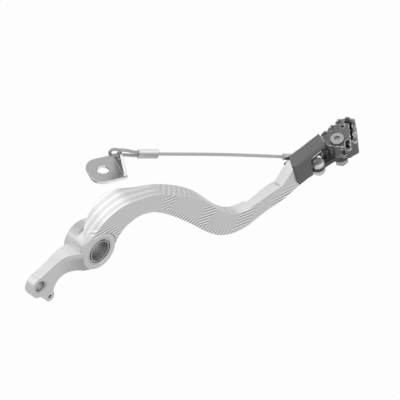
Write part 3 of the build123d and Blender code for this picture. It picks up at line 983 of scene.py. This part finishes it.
@dataclass(frozen=True)
class MilledFinish:
    """Aluminium milled to shape: flat facets are smooth, and cutter lines show on what slopes between them.

    Args:
        name: the material's name.
        level: grey of the facets, linear.
        crest: grey of the cutter lines' crests.
        trough: grey between the cutter lines.
        painted_shade: grey of the painted shade in the push-rod eye, in the short arm's hollow and on the boss's
            round.
        rough: roughness of the facets.
        edge_radius: how far edges look rounded, in metres.
        edge_shine: how much of the crests' grey the edges have.
        depth: how uneven the surface is.
        grain_relief: height of the grain.
        line_relief: height of the cutter lines.
        front: the normal's Y of what is front.
        level_path: the cutter's way over the front.
        upper: the edge that slopes up.
        lower: the edge that slopes down.
        crown: the lines above the boss.
    """

    name: str = "milled_aluminium"
    level: float = 0.54
    crest: float = 0.82
    trough: float = 0.35
    painted_shade: float = 0.2
    rough: float = 0.36
    edge_radius: float = 0.6 * MM
    edge_shine: float = 0.45
    depth: float = 0.16
    grain_relief: Relief = Relief(0.2, 0.1 * MM)
    line_relief: Relief = Relief(0.6, 0.25 * MM)
    front: Fade = Fade(-0.35, -0.6)
    level_path: CutterPath = CutterPath(2.4 * MM)
    upper: ArmSlope = ArmSlope(
        CutterPath(2.0 * MM, (-0.24, 1.1, 1.0)), Fade(0.2, 0.4), Fade(0.95, 0.85, 0.75)
    )
    lower: ArmSlope = ArmSlope(CutterPath(4.0 * MM, (-0.9, 1.1, 1.0)), Fade(-0.12, -0.25), Fade(-0.75, -0.6))
    crown: Crown = Crown()

    def material(self, shared: SharedEffects) -> bpy.types.Material:
        """Builds the finish as a material.

        Args:
            shared: the node groups.

        Returns:
            The material.
        """
        made, bench, surface = new_material(self.name)
        spot = Spot.on(bench)
        edges = bench.group(shared.edges, Radius=self.edge_radius)
        grain = bench.group(shared.grain, Place=spot.place, Depth=self.depth)
        lines = self.level_path.lines(bench, spot.place)
        shown = self.front_lines(bench, spot)
        for slope in (self.upper, self.lower):
            sloping = slope.mask(bench, spot)
            lines = bench.blend(sloping, lines, slope.path.lines(bench, spot.place))
            shown = bench.largest(shown, sloping)
        crest = grey(self.crest)
        smooth = bench.shaded(self.level, grain.outputs["Shade"])
        smooth = bench.mix(bench.product(edges.outputs["Edge"], self.edge_shine), smooth, crest)
        crowned = bench.product(self.crown.mask(bench, spot), self.crown.path.lines(bench, spot.place))
        smooth = bench.mix(crowned, smooth, crest)
        toned = bench.mix(shown, smooth, bench.mix(lines, grey(self.trough), crest))
        # Painted shade: the eye's bore, the short arm's hollow and a crease on the boss's round are drawn darker.
        toned = bench.mix(self.painted_shade_mask(bench, spot), toned, grey(self.painted_shade))
        bench.put(surface.inputs["Base Color"], toned)
        bench.put(surface.inputs["Roughness"], bench.math("ADD", grain.outputs["Rough"], self.rough))
        bench.put(surface.inputs["Metallic"], 1.0)
        fine = self.grain_relief.normal(bench, grain.outputs["Height"], edges.outputs["Normal"])
        normal = self.line_relief.normal(bench, bench.product(lines, shown), fine)
        bench.put(surface.inputs["Normal"], normal)
        return made

    def front_lines(self, bench: Bench, spot: Spot) -> Socket:
        """Where lines show on the front: on the borders between facets, above the boss and at the toe end.

        Args:
            bench: the material's bench.
            spot: the place that is shaded.

        Returns:
            The mask's socket.
        """
        groups = (FacetBorders(), BossLines(), ToeLines())
        shown = bench.largest(*(lines.mask(bench, spot) for lines in groups))
        return bench.product(shown, self.front.mask(bench, spot.faces(Axis.Y)))

    def painted_shade_mask(self, bench: Bench, spot: Spot) -> Socket:
        """Where shade is painted: in the push-rod eye and on both sides of the boss.

        Args:
            bench: the material's bench.
            spot: the place that is shaded.

        Returns:
            The mask's socket.
        """
        marks = (PaintedBoreShade(), PaintedHollowShade(self.front), PaintedCreaseShadow())
        return bench.largest(*(mark.mask(bench, spot) for mark in marks))


@dataclass
class WireRope:
    """One run of the rope: strands laid round a core along a route.

    Args:
        name: the piece's name.
        node: the CAD node that it stands for.
        route: points along and above the rope's own line, in millimetres.
        diameter: the rope's diameter, in metres.
        length: the rope's real length, in metres.
        strands: how many strands lie round the core, each as thick as the core.
        lay: how far a strand goes in one turn, in metres.
        sides: sides of each strand's tube.
        steps: points that the centreline has for each of the route's.
        tight: corners of the route that turn more than this are rounded as arcs, in radians.
        crease: edges that turn less than this are shaded smooth, in radians.
    """

    name: str
    node: str
    route: list[tuple[float, float]]
    diameter: float
    length: float
    strands: int = 6
    lay: float = 15.0 * MM
    sides: int = 8
    steps: int = 24
    tight: float = math.radians(60)
    crease: float = math.radians(50)

    def rounded_route(self) -> list[Vector]:
        """The route with each tight corner split in two, so that the rope turns there about as on an arc.

        Returns:
            Points along and above the rope's own line.
        """
        places = [Vector(point) for point in self.route]
        corners = zip(places, places[1:], places[2:])
        inner = [math.pi - (before - corner).angle(after - corner) for before, corner, after in corners]
        turns = [0.0, *inner, 0.0]
        rounded = []
        for index, (corner, turn) in enumerate(zip(places, turns)):
            if turn < self.tight:
                rounded.append(corner)
                continue
            arrive, leave = places[index - 1] - corner, places[index + 1] - corner
            # The spline touches the middle of each side, so these points keep it on the corner's own arc.
            reach = min(arrive.length, leave.length) / 2
            half = reach * math.tan(turn / 4) / math.tan(turn / 2)
            if turns[index - 1] < self.tight:
                rounded.append(corner + arrive.normalized() * (reach + half))
            rounded += [corner + arm.normalized() * (reach - half) for arm in (arrive, leave)]
            if turns[index + 1] < self.tight:
                rounded.append(corner + leave.normalized() * (reach + half))
        return rounded

    def control_points(self, start: Vector, along: Vector) -> list[Vector]:
        """The route's points in the part's frame.

        Args:
            start: where the rope's line begins.
            along: the line's direction, of length 1.

        Returns:
            The spline's control points.
        """
        level = along.cross(Vector((0, 0, 1))).normalized()
        above = level.cross(along)
        return [start + along * (x * MM) + above * (y * MM) for x, y in self.rounded_route()]

    def centreline(self, points: list[Vector]) -> list[Vector]:
        """Points read from the route's smooth spline.

        Args:
            points: the spline's control points.

        Returns:
            Points along the rope.
        """
        data = bpy.data.curves.new(self.name + "_route", "CURVE")
        data.dimensions = "3D"
        spline = data.splines.new("NURBS")
        spline.points.add(len(points) - 1)
        for point, place in zip(spline.points, points):
            point.co = (*place, 1.0)
        spline.order_u = 3
        spline.use_endpoint_u = True
        spline.resolution_u = self.steps
        holder = bpy.data.objects.new(self.name + "_route", data)
        bpy.context.scene.collection.objects.link(holder)
        bpy.context.view_layer.update()
        mesh = bpy.data.meshes.new_from_object(holder.evaluated_get(bpy.context.evaluated_depsgraph_get()))
        line = [vertex.co.copy() for vertex in mesh.vertices]
        bpy.data.objects.remove(holder)
        bpy.data.meshes.remove(mesh)
        return line

    def tube(
        self, line: list[Vector], side: Vector, phase: float, turn_radius: float, radius: float
    ) -> tuple[list[Vector], list[tuple[int, ...]]]:
        """Tube of one strand.

        Args:
            line: the rope's centreline.
            side: direction square to the plane that the rope lies in.
            phase: the strand's bearing at the rope's start.
            turn_radius: how far the strand's middle is from the centreline.
            radius: the strand's own radius.

        Returns:
            The tube's points and faces.
        """
        points, faces, travelled = [], [], 0.0
        for index, place in enumerate(line):
            if index:
                travelled += (place - line[index - 1]).length
            ahead = (line[min(index + 1, len(line) - 1)] - line[max(index - 1, 0)]).normalized()
            over = side.cross(ahead).normalized()
            bearing = phase + math.tau * travelled / self.lay
            middle = place + (side * math.cos(bearing) + over * math.sin(bearing)) * turn_radius
            for corner in range(self.sides):
                angle = math.tau * corner / self.sides
                points.append(middle + (side * math.cos(angle) + over * math.sin(angle)) * radius)
        for ring in range(len(line) - 1):
            first, second = ring * self.sides, (ring + 1) * self.sides
            for corner in range(self.sides):
                after = (corner + 1) % self.sides
                faces.append((first + corner, first + after, second + after, second + corner))
        faces.append(tuple(range(self.sides - 1, -1, -1)))
        last = (len(line) - 1) * self.sides
        faces.append(tuple(range(last, last + self.sides)))
        return points, faces

    def build(self, start: Vector, along: Vector) -> tuple[bpy.types.Object, list[Vector]]:
        """Builds the run.

        Args:
            start: where the rope's line begins.
            along: the line's direction, of length 1.

        Returns:
            The rope's object and its centreline.
        """
        line = self.centreline(self.control_points(start, along))
        side = along.cross(Vector((0, 0, 1))).normalized()
        # Two strands and the core lie across the rope, so six of their radii make its diameter.
        radius = self.diameter / 6
        points, faces = self.tube(line, side, 0.0, 0.0, radius)
        for index in range(self.strands):
            more, rings = self.tube(line, side, math.tau * index / self.strands, 2 * radius, radius)
            faces += [tuple(corner + len(points) for corner in ring) for ring in rings]
            points += more
        mesh = bpy.data.meshes.new(self.name)
        mesh.from_pydata(points, [], faces)
        rope = bpy.data.objects.new(self.name, mesh)
        bpy.context.scene.collection.objects.link(rope)
        bpy.ops.object.select_all(action="DESELECT")
        bpy.context.view_layer.objects.active = rope
        rope.select_set(True)
        bpy.ops.object.mode_set(mode="EDIT")
        bpy.ops.mesh.select_all(action="SELECT")
        bpy.ops.mesh.normals_make_consistent(inside=False)
        bpy.ops.object.mode_set(mode="OBJECT")
        bpy.ops.object.shade_smooth_by_angle(angle=self.crease)
        rope.select_set(False)
        return rope, line


@dataclass
class SnakeCable:
    """Safety cable: a stranded rope from the lug at the toe to an eye in the bracket.

    Args:
        loop_at: middle of the bracket's eye.
        lug_at: where the rope leaves its lug.
        diameter: the rope's diameter, in metres.
        run_length: the rope's length from lug to ferrule, in metres.
        eye_length: the rope's length round the eye, in metres.
        lug_drop: how far above its own line the rope leaves the lug, in millimetres.
        run_route: points from there to the ferrule, along and above that line from the eye, in millimetres.
        eye_route: points round the eye, in the same way.
    """

    loop_at: Vector = Vector((64.5, 36.0, 21.1)) * MM
    lug_at: Vector = Vector((168.2, -14.5, -5.8)) * MM
    diameter: float = 2.4 * MM
    run_length: float = 93.5 * MM
    eye_length: float = 46.3 * MM
    lug_drop: float = -0.6
    run_route: tuple[tuple[float, float], ...] = ((88.0, 0.9), (56.0, 1.6), (25.0, 1.6))
    eye_route: tuple[tuple[float, float], ...] = (
        (9.8, 0.1), (5.6, 0.2), (1.0, 0.75), (-5.0, 0.8), (-11.4, -0.2), (-11.4, 6.2),
        (-5.5, 5.2), (0.6, 4.9), (5.6, 3.2), (9.8, 3.1),
    )

    def build(self, finish: bpy.types.Material) -> list[bpy.types.Object]:
        """Args:
            finish: the strands' material.

        Returns:
            The two runs.
        """
        line = self.lug_at - self.loop_at
        run_route = [(line.length / MM, self.lug_drop), *self.run_route]
        run = WireRope("snake_rope", "snake_cable", run_route, self.diameter, self.run_length)
        eye = WireRope("rope_eye", "cable_loop", list(self.eye_route), self.diameter, self.eye_length)
        made = []
        for rope in (run, eye):
            piece, path = rope.build(self.loop_at, line.normalized())
            piece.data.materials.append(finish)
            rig.ride(piece, "lever")
            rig.replaces(piece, rope.node)
            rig.slot(piece, "rope_steel")
            made.append((piece, path, rope))
        nodes = frame["nodes"]
        piece, path, rope = made[0]
        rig.cord(
            piece, exit=path[0], length=rope.length, diameter=self.diameter, far_end="fitting", stiffness="stiff",
            lay="taut", path=path, with_pieces=[nodes["crimp_ferrule"], nodes["snake_bracket"]],
        )
        piece, path, rope = made[1]
        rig.cord(
            piece, exit=path[0], length=rope.length, diameter=self.diameter, far_end="object", stiffness="stiff",
            lay="taut", path=path,
        )
        return [piece for piece, _, _ in made]


@dataclass
class Dress:
    """The finishes of the nodes that keep their CAD shape.

    Args:
        shared: the node groups that the finishes use.
    """

    shared: SharedEffects

    def finishes(self) -> dict[str, MetalFinish | MilledFinish]:
        """Which finish each node gets.

        Returns:
            Finishes by node name.
        """
        milled = MilledFinish()
        seal = MetalFinish("seal_steel", level=0.5, rubbed=0.6, rough=0.4)
        bolt = MetalFinish("plated_bolt", level=0.6, rubbed=0.85, rough=0.55, wear=0.4)
        return {
            "lever_arm": milled,
            "pivot_boss": milled,
            "pivot_bush": MetalFinish("bush_liner", level=0.4, rubbed=0.5, rough=0.35),
            "pivot_seal_outer": seal,
            "pivot_seal_inner": seal,
            "toe_channel": MetalFinish(
                "channel_coating", level=0.15, rubbed=0.3, rough=0.6, metallic=0.0, depth=0.4, wear=0.35
            ),
            # The link's near-black grey is partly its own dark coating and partly painted shade for the gap between
            # the channel and the tip.
            "tip_link": MetalFinish(
                "dark_coating_and_gap_shade", level=0.06, rubbed=0.45, rough=0.5, metallic=0.1, depth=0.5, wear=0.6
            ),
            "toe_tip": MetalFinish(
                "tip_coating", level=0.13, rubbed=0.85, rough=0.45, metallic=0.45, edge_radius=0.5 * MM,
                depth=0.6, wear=1.0, wear_radius=2.4 * MM,
            ),
            "channel_screws": bolt,
            "fold_bolt": bolt,
            "fold_clip": bolt,
            "fold_spring": MetalFinish("spring_wire", level=0.5, rubbed=0.7, rough=0.3),
            "tip_bolt": MetalFinish("tip_bolt_plating", level=0.3, rubbed=0.5, rough=0.4, wear=0.4),
            "tip_washer": bolt,
            "tip_nut": MetalFinish("nut_steel", level=0.36, rubbed=0.5, rough=0.4),
            "crimp_ferrule": MetalFinish("crimped_aluminium", level=0.6, rubbed=0.8, rough=0.4),
            "cable_lug": MetalFinish("lug_steel", level=0.4, rubbed=0.6, rough=0.4),
            # The sheet's edges are drawn near-white: the rubbed edges are partly wear and partly painted highlight,
            # and the edges that face the given way get a painted highlight.
            "snake_bracket": MetalFinish(
                "zinc_sheet", level=0.31, rubbed=0.95, rough=0.42, edge_radius=0.8 * MM, depth=0.35, wear=0.95,
                wear_radius=0.8 * MM, highlight_facing=(-0.375, -0.927, 0.0),
            ),
        }

    def apply(self) -> None:
        """Gives each kept node its finish."""
        made: dict[str, bpy.types.Material] = {}
        for node, finish in self.finishes().items():
            if finish.name not in made:
                made[finish.name] = finish.material(self.shared)
            data = frame["nodes"][node].data
            data.materials.clear()
            data.materials.append(made[finish.name])
            log.info("dressed %s in %s", node, finish.name)


@dataclass(frozen=True)
class Lamp:
    """A soft square lamp that faces the part.

    Args:
        name: the lamp's name.
        place: where it stands, from the part's middle, in metres.
        size: length of its sides, in metres.
        power: its power, in watts.
    """

    name: str
    place: Triple
    size: float
    power: float

    def add(self, middle: Vector) -> None:
        """Adds the lamp.

        Args:
            middle: the part's middle.
        """
        data = bpy.data.lights.new(self.name, "AREA")
        data.size = self.size
        data.energy = self.power
        lamp = bpy.data.objects.new(self.name, data)
        bpy.context.scene.collection.objects.link(lamp)
        lamp.location = middle + Vector(self.place)
        lamp.rotation_euler = Vector(self.place).to_track_quat("Z", "Y").to_euler()


@dataclass
class Studio:
    """Pale stage, soft light and the camera.

    Args:
        azimuth: bearing of the camera, in degrees.
        elevation: the camera's height, in degrees.
        width: what the picture's width shows, in metres.
        centre: the picture's middle, right of and above the pivot, in metres.
        lens: the camera's focal length, in millimetres.
        sight: how far the camera sees, in times its distance.
        middle: the part's middle, which the lamps face.
        lamps: the lamps.
        floor_z: height of the floor.
        floor_size: length of the floor's sides, in metres.
        floor_level: the floor's grey, linear.
        floor_rough: the floor's roughness.
        floor_white: how much of the floor is plain white where it is seen, from 0 to 1.
        fill: strength of the even light all round.
    """

    azimuth: float = -42.0
    elevation: float = 40.0
    width: float = 277.2 * MM
    centre: tuple[float, float] = (76.5 * MM, 30.3 * MM)
    lens: float = 1500.0
    sight: float = 10.0
    middle: Vector = Vector((80.0, 0.0, 0.0)) * MM
    lamps: tuple[Lamp, ...] = (
        Lamp("top_lamp", (0.62, 0.70, 0.95), 0.9, 1.4),
        Lamp("front_lamp", (0.15, -0.50, 0.95), 1.3, 3.2),
        Lamp("left_lamp", (-0.62, 0.22, 0.90), 1.4, 4.4),
    )
    floor_z: float = -0.11
    floor_size: float = 8.0
    floor_level: float = 0.55
    floor_rough: float = 0.9
    floor_white: float = 0.97
    fill: float = 0.42

    def build(self) -> None:
        """Builds the stage, the light and the camera."""
        self.add_camera()
        self.add_floor()
        self.add_world()
        for lamp in self.lamps:
            lamp.add(self.middle)
        bpy.context.scene.view_settings.view_transform = "Standard"

    def add_camera(self) -> None:
        """Places the camera where the photograph was taken from."""
        turn, tilt = math.radians(self.azimuth), math.radians(self.elevation)
        back = Vector((math.sin(turn) * math.cos(tilt), -math.cos(turn) * math.cos(tilt), math.sin(tilt)))
        right = Vector((math.cos(turn), math.sin(turn), 0))
        up = back.cross(right)
        data = bpy.data.cameras.new("camera")
        data.lens = self.lens
        distance = self.width * self.lens / data.sensor_width
        data.clip_end = self.sight * distance
        camera = bpy.data.objects.new("camera", data)
        bpy.context.scene.collection.objects.link(camera)
        target = right * self.centre[0] + up * self.centre[1]
        turned = Matrix((right, up, back)).transposed().to_4x4()
        camera.matrix_world = Matrix.Translation(target + back * distance) @ turned
        bpy.context.scene.camera = camera

    def seen(self, bench: Bench) -> Socket:
        """1 for the rays that show the background: from the camera, in gloss and through glass.

        Args:
            bench: the bench to add the nodes on.

        Returns:
            The value's socket.
        """
        rays = bench.add("LightPath").outputs
        return bench.largest(rays["Is Camera Ray"], rays["Is Glossy Ray"], rays["Is Transmission Ray"])

    def add_floor(self) -> None:
        """A wide pale floor, white to the camera with a trace of the shadow, and clear from below."""
        bpy.ops.object.select_all(action="DESELECT")
        bpy.ops.mesh.primitive_plane_add(size=self.floor_size, location=(0, 0, self.floor_z))
        floor = bpy.context.active_object
        floor.name = "floor"
        made, bench, matte = new_material("floor")
        bench.put(matte.inputs["Base Color"], grey(self.floor_level))
        bench.put(matte.inputs["Roughness"], self.floor_rough)
        white = bench.add("Emission")
        bench.put(white.inputs["Strength"], 1.0)
        blend = bench.add("MixShader")
        bench.put(blend.inputs[0], bench.product(self.seen(bench), self.floor_white))
        bench.put(blend.inputs[1], matte.outputs[0])
        bench.put(blend.inputs[2], white.outputs[0])
        below = bench.add("MixShader")
        bench.put(below.inputs[0], bench.add("NewGeometry").outputs["Backfacing"])
        bench.put(below.inputs[1], blend.outputs[0])
        bench.put(below.inputs[2], bench.add("BsdfTransparent").outputs[0])
        bench.put(made.node_tree.nodes["Material Output"].inputs["Surface"], below.outputs[0])
        floor.data.materials.append(made)
        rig.stage(floor)

    def add_world(self) -> None:
        """Even light all round, white where it is seen."""
        world = bpy.data.worlds.new("studio")
        world.use_nodes = True
        bpy.context.scene.world = world
        bench = Bench(world.node_tree)
        soft, white = world.node_tree.nodes["Background"], bench.add("Background")
        for light, strength in ((soft, self.fill), (white, 1.0)):
            bench.put(light.inputs["Color"], grey(1.0))
            bench.put(light.inputs["Strength"], strength)
        blend = bench.add("MixShader")
        bench.put(blend.inputs[0], self.seen(bench))
        bench.put(blend.inputs[1], soft.outputs[0])
        bench.put(blend.inputs[2], white.outputs[0])
        bench.put(world.node_tree.nodes["World Output"].inputs["Surface"], blend.outputs[0])


def main() -> None:
    """Builds the stage, the cable and the finishes, and writes the sizes."""
    Studio().build()
    shared = SharedEffects(RoundedEdges().group(), MetalGrain().group())
    strands = MetalFinish(
        "rope_strands", level=0.44, rubbed=0.62, rough=0.38, edge_radius=0.05 * MM, wear=0.2
    )
    for rope in SnakeCable().build(strands.material(shared)):
        log.info("built %s", rope.name)
    Dress(shared).apply()
    sizes = {"cad": [list(corner) for corner in cad_box], "visual": [list(corner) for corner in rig.bounds()]}
    with open(SIZE_FILE, "w") as file:
        json.dump(sizes, file)


if __name__ == "__main__":
    main()
